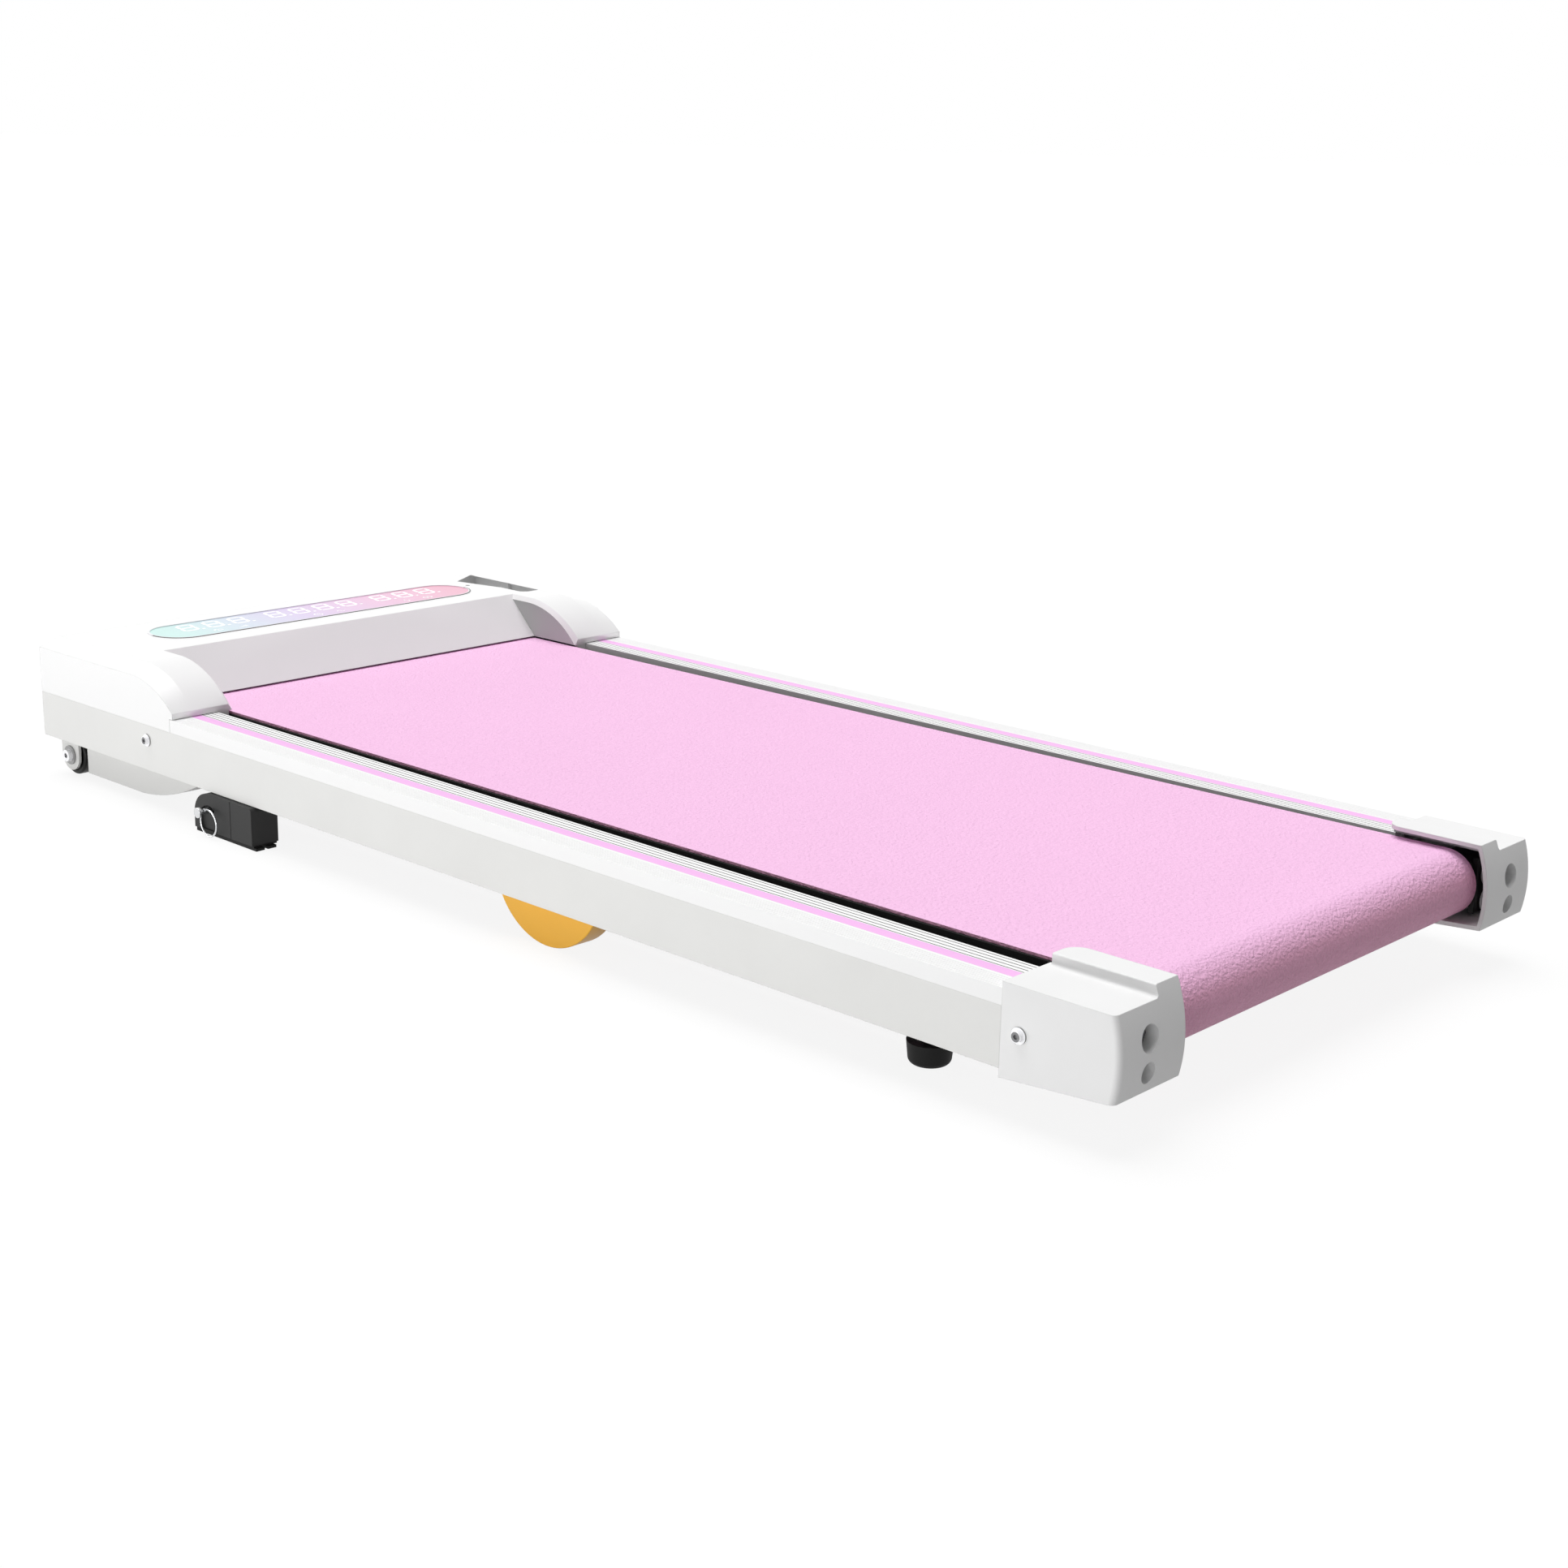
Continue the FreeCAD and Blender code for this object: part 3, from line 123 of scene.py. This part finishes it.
# Faint clouds in tone and gloss: how large, how broken up, how much gloss and how far the tone falls
cloud_scale = 18.0
cloud_detail = 3.0
cloud_gloss = 0.08
plastic_mottle = 0.97
rubber_mottle = 0.85
metal_mottle = 0.9

# Gloss of surfaces that are made one by one, and the weak sheen of rubber and of the lens
hood_roughness = 0.35
rail_roughness = 0.38
belt_roughness = 0.62
lens_roughness = 0.3
bezel_roughness = 0.3
print_roughness = 0.4
screw_roughness = 0.4
screw_metallic = 0.2
weak_sheen = 0.2

# Belt: its pebble and clouds, the pebble's share of its tone, how dark they get, and how fast the painted
# rosy shade comes in as it faces away from up
pebble_scale = 420.0
pebble_detail = 3.0
pebble_share = 0.7
pebble_strength = 0.9
pebble_depth = 0.0019
belt_cloud_scale = 9.0
belt_cloud_detail = 2.0
rose_mottle = 0.88
pink_mottle = 0.96
level_gain = 1.6

# Screws in the sides, as places along Y and Z, and how far their tones reach from the middle
side_screw_places = ((0.4085, 0.0610), (-0.5040, 0.0590))
screw_key_radius = 0.0031
screw_head_radius = 0.0053
wheel_bolt_places = ((0.5485, 0.0195),)
bolt_key_radius = 0.0022
bolt_head_radius = 0.0054

# Painted shade in the rails' tread grooves: how far they run in from the stripes, and how far below the top
tread_width = 0.0155
groove_drop = 0.00035
groove_half_depth = 0.0003

# Painted shade in the tray and the scoop: a box on the hood, by its middle and half its sizes
tray_middle = Vector((0.21535, 0.5170, 0.1120))
tray_half = Vector((0.0225, 0.0530, 0.0083))

# Painted shade on the upright inner faces of the hood's lobes: how far out they stand, how high they begin
# over the floor, and how squarely they face sideways
lobe_face_x = 0.1920
lobe_face_margin = 0.0006
lobe_face_z = 0.0840
lobe_face_turn = 0.9

# The painted shadow line on the bezel, in from its outer edge
bezel_shadow_width = 0.0012

# Colours along the display lens, as shares of its length from the left end
lens_fade = (
    (0.05, (210, 244, 239)),
    (0.24, (217, 229, 241)),
    (0.44, (224, 209, 240)),
    (0.68, (240, 199, 228)),
    (0.95, (243, 185, 206)),
)

# Display print: three groups of seven-stroke eights with points, and small signs under them
figure_groups = (3, 4, 3)
figure_first_x = -0.1280
figure_pitch = 0.0268
figure_group_step = 0.0401
figure_rise = 0.0097
figure_width = 0.0140
figure_height = 0.0228
figure_slant = 0.18
stroke_width = 0.0030
stroke_gap = 0.0003
point_reach = 0.0118
sign_places = (-0.1120, -0.0870, -0.0040, 0.0220, 0.0987, 0.1240)
sign_drop = 0.0160
sign_radius = 0.0046
sign_stroke = 0.0011
sign_steps = 24
half_turn_deg = 180
full_turn_deg = 360
dial_tilt_deg = 20
stair_bars = 5
stair_rise_share = 0.25
drop_share = 3 / 4
ring_share = 2 / 3
print_thickness = 0.0001
figure_glow = 0.12


def linear(colour):
    parts = [c / 255 for c in colour]
    return [p / 12.92 if p <= 0.04045 else ((p + 0.055) / 1.055) ** 2.4 for p in parts] + [1.0]


def grey(level):
    return [level, level, level, 1.0]


def darker(colour, share):
    return tuple(c * share for c in colour)


class Signal:
    """A shader value. Python sums on it make the maths nodes that work the sum out."""

    def __init__(self, finish, socket):
        self.finish = finish
        self.socket = socket

    def math(self, operation, *others):
        return self.finish.make("ShaderNodeMath", {"operation": operation}, [self, *others])

    def __add__(self, other):
        return self.math("ADD", other)

    def __sub__(self, other):
        return self.math("SUBTRACT", other)

    def __mul__(self, other):
        return self.math("MULTIPLY", other)

    def __truediv__(self, other):
        return self.math("DIVIDE", other)


class Shading:
    """The shader nodes of one material, or of the sky."""

    def __init__(self, owner, shader):
        owner.use_nodes = True
        self.tree = owner.node_tree
        self.shader = self.tree.nodes[shader]

    def feed(self, socket, value):
        self.put(self.shader.inputs[socket], value)

    def put(self, socket, value):
        if isinstance(value, Signal):
            self.tree.links.new(value.socket, socket)
        else:
            socket.default_value = value

    def make(self, kind, settings, inputs, output=0):
        """A node of one kind: its settings first, then its sockets by name or by place."""
        node = self.tree.nodes.new(kind)
        for key, value in settings.items():
            if key == "stops":
                self.set_stops(node.color_ramp.elements, value)
            else:
                setattr(node, key, value)
        pairs = inputs.items() if isinstance(inputs, dict) else enumerate(inputs)
        for key, value in pairs:
            self.put(node.inputs[key], value)
        return Signal(self, node.outputs[output])

    def set_stops(self, elements, stops):
        while len(elements) < len(stops):
            elements.new(1.0)
        for element, (share, colour) in zip(elements, stops):
            element.position = share
            element.color = linear(colour)

    def blend(self, share, first, second):
        return self.make("ShaderNodeMix", {"data_type": "RGBA"}, {0: share, 6: first, 7: second}, 2)

    def seen_directly(self):
        """1 where the eye, a mirror or a clear piece looks straight at the background."""
        rays = ("Is Camera Ray", "Is Glossy Ray", "Is Transmission Ray")
        camera_ray, glossy_ray, clear_ray = [self.make("ShaderNodeLightPath", {}, {}, ray) for ray in rays]
        return camera_ray.math("MAXIMUM", glossy_ray).math("MAXIMUM", clear_ray)


class Finish(Shading):
    """One material of the machine or of the floor."""

    def __init__(self, name, colour, roughness, metallic=0.0):
        self.material = bpy.data.materials.new(name)
        super().__init__(self.material, "Principled BSDF")
        self.feed("Base Color", linear(colour))
        self.feed("Roughness", roughness)
        self.feed("Metallic", metallic)

    def place(self):
        return self.make("ShaderNodeTexCoord", {}, {}, "Object")

    def axis(self, letter):
        return self.make("ShaderNodeSeparateXYZ", {}, [self.place()], letter)

    def facing(self, letter):
        """How far the surface faces along an axis, from -1 to 1."""
        normal = self.make("ShaderNodeNewGeometry", {}, {}, "Normal")
        return self.make("ShaderNodeSeparateXYZ", {}, [normal], letter)

    def reach(self, y, z):
        """How far the surface is from a line along X through y and z."""
        along = self.axis("Y") - y
        up = self.axis("Z") - z
        return (along * along + up * up).math("SQRT")

    def within(self, letter, middle, half):
        """1 where the place along an axis is no further than half from the middle."""
        return self.axis(letter).math("COMPARE", middle, half)

    def either_side(self, middle, half):
        """The same for X, on both sides of the machine."""
        return self.axis("X").math("ABSOLUTE").math("COMPARE", middle, half)

    def noise(self, scale, detail):
        inputs = {"Vector": self.place(), "Scale": scale, "Detail": detail}
        return self.make("ShaderNodeTexNoise", {}, inputs, "Fac")

    def cloud(self, roughness):
        """Cloudy changes of gloss, and the cloud itself for changes of tone."""
        cloud = self.noise(cloud_scale, cloud_detail)
        self.feed("Roughness", cloud * cloud_gloss + (roughness - cloud_gloss / 2))
        return cloud

    def bump(self, height, strength, distance, radius=edge_radius):
        """Relief on top of softly rounded edges."""
        edge = self.make("ShaderNodeBevel", {"samples": edge_samples}, {"Radius": radius})
        relief = {"Height": height, "Strength": strength, "Distance": distance, "Normal": edge}
        self.feed("Normal", self.make("ShaderNodeBump", {}, relief, "Normal"))

    def grain(self, kind, radius=edge_radius):
        scale, detail, strength, depth = kind
        self.bump(self.noise(scale, detail), strength, depth, radius)


def plain(name, colour, roughness, metallic=0.0, mottle=plastic_mottle):
    """A smooth finish with faint cloudy changes of tone and gloss."""
    finish = Finish(name, colour, roughness, metallic)
    cloud = finish.cloud(roughness)
    finish.feed("Base Color", finish.blend(cloud, linear(darker(colour, mottle)), linear(colour)))
    return finish


def moulded(name, colour, roughness):
    """Plastic with the fine grain of a mould."""
    finish = plain(name, colour, roughness)
    finish.grain(moulded_grain)
    return finish.material


def painted(name, colour, roughness):
    """Baked powder paint with a shallow orange-peel surface."""
    finish = plain(name, colour, roughness)
    finish.grain(painted_grain)
    return finish.material


def rubbery(name, colour, roughness):
    """Matt rubber with a coarse grain."""
    finish = plain(name, colour, roughness, mottle=rubber_mottle)
    finish.feed("Specular IOR Level", weak_sheen)
    finish.grain(rubber_grain)
    return finish.material


def metal(name, colour, roughness):
    """Plated metal with faint clouds in its tone and gloss."""
    finish = plain(name, colour, roughness, 1.0, metal_mottle)
    finish.grain(metal_grain)
    return finish.material


def screw_zinc(name, places, key_radius, head_radius):
    """Plated screws: painted shade in the key hole, bright round it and grey on the rest of the washer."""
    finish = Finish(name, washer_grey, screw_roughness, screw_metallic)
    middles = [finish.reach(y, z) for y, z in places]
    reach = middles[0]
    for middle in middles[1:]:
        reach = reach.math("MINIMUM", middle)
    # Painted shade in the key hole
    head = finish.blend(reach.math("LESS_THAN", key_radius), linear(head_bright), linear(key_hole_painted_shade))
    head_share = reach.math("LESS_THAN", head_radius)
    finish.feed("Base Color", finish.blend(head_share, linear(washer_grey), head))
    return finish.material


def ribbed_rail():
    """White plastic with painted shade in its tread grooves."""
    finish = Finish("rail_plastic", rail_white, rail_roughness)
    finish.cloud(rail_roughness)
    groove_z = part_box("left_foot_rail")[1].z - groove_drop
    tread_x = -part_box("left_rail_stripe")[1].x - tread_width / 2
    # Painted shade: the floors of the tread grooves are darkened
    groove = finish.within("Z", groove_z, groove_half_depth) * finish.either_side(tread_x, tread_width / 2)
    finish.feed("Base Color", finish.blend(groove, linear(rail_white), linear(groove_painted_shade)))
    finish.grain(moulded_grain, rib_edge_radius)
    return finish.material


def hood_plastic():
    """White plastic with painted shade in the tray and the scoop and on the upright inner faces of the
    lobes.
    """
    finish = Finish("hood_plastic", hood_white, hood_roughness)
    finish.cloud(hood_roughness)
    # Painted shade: grey inside the box of the tray and the scoop
    across, along, up = [finish.within(*sides) for sides in zip("XYZ", tray_middle, tray_half)]
    tray = finish.blend(across * along * up, linear(hood_white), linear(tray_painted_shade))
    # Painted shade on the upright inner faces of the lobes
    upright = finish.facing("X").math("ABSOLUTE").math("GREATER_THAN", lobe_face_turn)
    inner = finish.either_side(lobe_face_x, lobe_face_margin)
    above = finish.axis("Z").math("GREATER_THAN", lobe_face_z)
    finish.feed("Base Color", finish.blend(upright * inner * above, tray, linear(lobe_painted_shade)))
    finish.grain(moulded_grain)
    return finish.material


def walking_belt():
    """Soft pink sheet with a leathery pebble, and a painted rosy shade where it faces away from up round
    the rollers.
    """
    finish = Finish("walking_belt", belt_pink, belt_roughness)
    pebble = finish.noise(pebble_scale, pebble_detail)
    cloud = finish.noise(belt_cloud_scale, belt_cloud_detail)
    tone = pebble * pebble_share + cloud * (1 - pebble_share)
    # Painted shade: rosier as the belt faces away from up
    level = finish.facing("Z") * level_gain - (level_gain - 1)
    light = finish.blend(level, linear(belt_shade_rose), linear(belt_pink))
    dark_shade_rose = linear(darker(belt_shade_rose, rose_mottle))
    dark_pink = linear(darker(belt_pink, pink_mottle))
    dark = finish.blend(level, dark_shade_rose, dark_pink)
    finish.feed("Base Color", finish.blend(tone, dark, light))
    finish.bump(pebble, pebble_strength, pebble_depth)
    return finish.material


def display_lens():
    """A smooth lens whose colour fades from cyan through lilac to pink."""
    finish = Finish("display_lens", figure_white, lens_roughness)
    finish.feed("Specular IOR Level", weak_sheen)
    low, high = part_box("display_lens")
    along = (finish.axis("X") - low.x) / (high.x - low.x)
    finish.feed("Base Color", finish.make("ShaderNodeValToRGB", {"stops": lens_fade}, [along]))
    return finish.material


def display_bezel():
    """White, with a painted shadow line round the rear half of its round-ended rim."""
    finish = Finish("display_bezel", bezel_white, bezel_roughness)
    low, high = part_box("display_bezel")
    radius = (high.y - low.y) / 2
    straight = (high.x - low.x) / 2 - radius
    along = ((finish.axis("X") - (low.x + high.x) / 2).math("ABSOLUTE") - straight).math("MAXIMUM", 0.0)
    across = finish.axis("Y") - (low.y + high.y) / 2
    reach = (along * along + across * across).math("SQRT")
    # Painted shadow: a dark line on the rim's rear half
    shadow_line = reach.math("GREATER_THAN", radius - bezel_shadow_width) * across.math("LESS_THAN", 0.0)
    finish.feed("Base Color", finish.blend(shadow_line, linear(bezel_white), linear(bezel_painted_shadow)))
    return finish.material


def figure_print():
    """The lit figures and signs of the display."""
    finish = plain("figure_print", figure_white, print_roughness)
    finish.feed("Emission Color", linear(figure_white))
    finish.feed("Emission Strength", figure_glow)
    return finish.material


# The finish of each slot, with its colour and roughness
materials = {
    "frame_white": painted("frame_paint", frame_white, 0.42),
    "hood_white": hood_plastic(),
    "rail_white": ribbed_rail(),
    "cap_white": moulded("cap_plastic", cap_white, 0.45),
    "pan_grey": moulded("pan_plastic", pan_grey, 0.5),
    "belt_pink": walking_belt(),
    "stripe_pink": moulded("stripe_plastic", stripe_pink, 0.45),
    "deck_black": rubbery("deck_film", deck_black, 0.6),
    "black_rubber": rubbery("foot_rubber", rubber_black, 0.6),
    "wheel_black": rubbery("wheel_rubber", rubber_black, 0.4),
    "block_black": rubbery("block_plastic", block_black, 0.5),
    "support_amber": moulded("support_plastic", support_amber, 0.4),
    "zinc_steel": metal("zinc_plate", zinc_grey, 0.4),
    "bracket_black": painted("bracket_black_paint", bracket_black, 0.5),
    "bracket_grey": painted("bracket_grey_paint", bracket_grey, 0.4),
    "bright_screw": metal("bright_zinc", bright_zinc, 0.25),
    "bezel_white": display_bezel(),
    "lens_gradient": display_lens(),
    "sensor_dark": moulded("sensor_plastic", sensor_grey, 0.2),
    "board_green": moulded("circuit_board", board_green, 0.4),
    "motor_grey": painted("motor_paint", motor_grey, 0.4),
    "sink_aluminium": metal("bare_aluminium", aluminium_grey, 0.35),
    "inlet_black": moulded("inlet_plastic", inlet_black, 0.45),
}

# Finishes for fasteners that differ from their slot
# The tension bolts are zinc darkened with painted shade for the inside of their holes
tension_finish = metal("tension_bolt_zinc_and_shade", tension_zinc_and_shade, 0.4)
fasteners = {
    "wheel_bolts": screw_zinc("wheel_bolt_zinc", wheel_bolt_places, bolt_key_radius, bolt_head_radius),
    "side_screws": screw_zinc("side_screw_zinc", side_screw_places, screw_key_radius, screw_head_radius),
    "left_tension_bolt": tension_finish,
    "right_tension_bolt": tension_finish,
}


def dress_nodes():
    for part in frame["record"]["subparts"]:
        mesh = nodes[part["node"]].data
        mesh.materials.clear()
        mesh.materials.append(fasteners.get(part["node"], materials[part["material_slot"]]))


def stroke(x, y, length, upright):
    """A bar with pointed ends, about x and y in an upright figure."""
    tip = length / 2
    half = stroke_width / 2
    outline = [(-tip, 0), (half - tip, -half), (tip - half, -half)]
    outline += [(-u, -v) for u, v in outline]
    return [(x - v, y + u) if upright else (x + u, y + v) for u, v in outline]


def eight():
    """The seven strokes of a figure eight and the point after it."""
    half_width = figure_width / 2
    half_height = figure_height / 2
    across = figure_width - stroke_gap - stroke_gap
    down = half_height - stroke_gap - stroke_gap
    strokes = [stroke(0, rise, across, False) for rise in (-half_height, 0, half_height)]
    for side in (-half_width, half_width):
        strokes += [stroke(side, rise, down, True) for rise in (-half_height / 2, half_height / 2)]
    half = stroke_width / 2
    dot = [(-half, -half), (half, -half), (half, half), (-half, half)]
    strokes.append([(point_reach + u, v - half_height) for u, v in dot])
    return [[(u + figure_slant * v, v) for u, v in outline] for outline in strokes]


def hoop(start_deg, end_deg, radius):
    """Four-cornered pieces along part of a ring."""
    def spot(step, reach):
        turn = math.radians(start_deg + (end_deg - start_deg) * step / sign_steps)
        return reach * math.cos(turn), reach * math.sin(turn)

    inner = radius - sign_stroke
    steps = range(sign_steps)
    return [[spot(k, inner), spot(k, radius), spot(k + 1, radius), spot(k + 1, inner)] for k in steps]


def bar(x, y, width, height):
    return [(x, y), (x + width, y), (x + width, y + height), (x, y + height)]


def shifted(outlines, across, up=0.0):
    return [[(x + across, y + up) for x, y in outline] for outline in outlines]


def signs():
    """A dial, a stair of bars, a clock, two waves, a drop and a pair of rings."""
    r = sign_radius
    w = sign_stroke
    hand = bar(-w / 2, 0, w, r / 2)
    dial = hoop(-dial_tilt_deg, half_turn_deg + dial_tilt_deg, r) + [hand, bar(-r / 2, -r / 2, r, w)]
    stair = [bar(k * w * 2 - r, -r / 2, w, (k + 1) * r * stair_rise_share) for k in range(stair_bars)]
    clock = hoop(0, full_turn_deg, r) + [hand, bar(0, -w / 2, r / 2, w)]
    waves = shifted(hoop(0, half_turn_deg, r / 2), -r / 2)
    waves += shifted(hoop(half_turn_deg, full_turn_deg, r / 2), r / 2 - w)
    drop = hoop(-half_turn_deg - dial_tilt_deg, dial_tilt_deg, r * drop_share)
    drop.append(bar(-w / 2, r / 2, w, r / 2))
    ring = hoop(0, full_turn_deg, r * ring_share)
    rings = shifted(ring, -r / 2) + shifted(ring, r / 2)
    return dial, stair, clock, waves, drop, rings


def printed(name, outlines, finish):
    """Flat pieces of print on the display lens."""
    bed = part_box("display_lens")[1].z
    mesh = bpy.data.meshes.new(name)
    build = bmesh.new()
    for outline in outlines:
        face = build.faces.new([build.verts.new((x, y, bed)) for x, y in outline])
        raised = bmesh.ops.extrude_face_region(build, geom=[face])["geom"]
        corners = [piece for piece in raised if isinstance(piece, bmesh.types.BMVert)]
        bmesh.ops.translate(build, verts=corners, vec=(0, 0, print_thickness))
    bmesh.ops.recalc_face_normals(build, faces=build.faces)
    build.to_mesh(mesh)
    build.free()
    mesh.materials.append(finish)
    piece = bpy.data.objects.new(name, mesh)
    bpy.context.collection.objects.link(piece)
    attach(piece, "frame")


def display_print():
    low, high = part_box("display_lens")
    middle_y = (low.y + high.y) / 2
    finish = figure_print()
    figures = []
    x = figure_first_x
    for count in figure_groups:
        for _ in range(count):
            figures += shifted(eight(), x, middle_y + figure_rise)
            x += figure_pitch
        x += figure_group_step - figure_pitch
    printed("display_figures", figures, finish)
    small = []
    for place, sign in zip(sign_places, signs()):
        small += shifted(sign, place, middle_y - sign_drop)
    printed("display_signs", small, finish)


def camera():
    data = bpy.data.cameras.new("camera")
    data.lens = camera_lens_mm
    data.sensor_width = camera_sensor_mm
    holder = bpy.data.objects.new("camera", data)
    bpy.context.collection.objects.link(holder)
    holder.location = camera_place
    holder.rotation_mode = "QUATERNION"
    turn = Quaternion((0, 0, 1), math.radians(camera_roll_deg))
    holder.rotation_quaternion = camera_ahead.to_track_quat("-Z", "Y") @ turn
    bpy.context.scene.camera = holder


def lamp(name, kind, place, towards):
    data = bpy.data.lights.new(name, kind)
    holder = bpy.data.objects.new(name, data)
    bpy.context.collection.objects.link(holder)
    holder.location = place
    holder.rotation_euler = towards.to_track_quat("-Z", "Y").to_euler()
    return data


def sky():
    world = bpy.data.worlds.new("studio")
    bpy.context.scene.world = world
    air = Shading(world, "Background")
    air.feed("Color", grey(1.0))
    air.feed("Strength", air.seen_directly().math("MAXIMUM", sky_level))


def floor():
    bpy.ops.mesh.primitive_plane_add(size=floor_size)
    sheet = bpy.context.object
    sheet.name = "floor"
    paper = Finish("floor_paper", (255, 255, 255), 1.0)
    paper.feed("Specular IOR Level", 0.0)
    seen = paper.seen_directly()
    paper.feed("Base Color", paper.blend(seen, grey(floor_bounce), grey(floor_white)))
    paper.feed("Emission Color", paper.blend(seen, grey(0.0), grey(floor_glow)))
    paper.feed("Emission Strength", 1.0)
    sheet.data.materials.append(paper.material)


def studio():
    bpy.context.scene.view_settings.view_transform = "Standard"
    sky()
    top = lamp("top_light", "SUN", Vector((0, 0, top_light_height)), -top_light_from)
    top.energy = top_light_level * math.pi
    top.angle = math.radians(top_light_spread_deg)
    for name, side, y in (("left_strip", -1, left_strip_y), ("right_strip", 1, right_strip_y)):
        place = Vector((side * strip_light_reach, y, strip_light_z))
        strip = lamp(name, "AREA", place, Vector((-side, 0, 0)))
        strip.shape = "RECTANGLE"
        strip.size = strip_light_length
        strip.size_y = strip_light_height
        strip.energy = strip_light_watts
    floor()


dress_nodes()
display_print()
camera()
studio()
